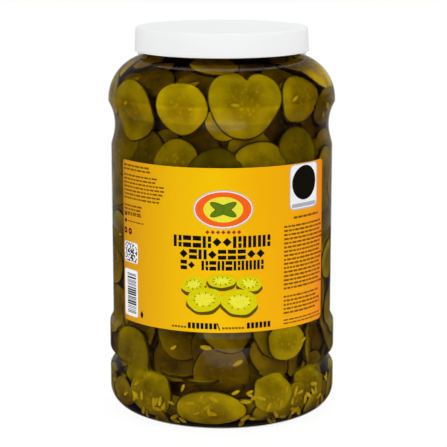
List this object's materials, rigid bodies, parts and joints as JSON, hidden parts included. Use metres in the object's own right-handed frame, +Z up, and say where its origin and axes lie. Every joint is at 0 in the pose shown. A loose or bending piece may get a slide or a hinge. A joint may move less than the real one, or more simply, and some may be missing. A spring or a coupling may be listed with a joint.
{
  "type": "pickle jar",
  "caption": "Large clear jar of sliced pickles in brine, with a grooved foot, waisted shoulder, white screw lid and wrap label.",
  "frame": {"origin": "centre of the base, on the surface the jar stands on", "axes": "+Z up along the jar's axis; -Y towards the front of the label; +X to the viewer's right"},
  "size_m": [0.1528, 0.1528, 0.2565],
  "materials": {
    "clear_jar": "clear blown PET, glossy",
    "pickles_in_brine": "dark olive pickle slices and seeds in cloudy amber brine",
    "lid_white": "smooth moulded white polypropylene",
    "label_film": "printed film, yellow to orange, satin gloss"
  },
  "bodies": {
    "root": {"jar": "clear_jar", "pickles_in_brine": "pickles_in_brine", "lid": "lid_white", "label": "label_film"}
  },
  "joints": []
}
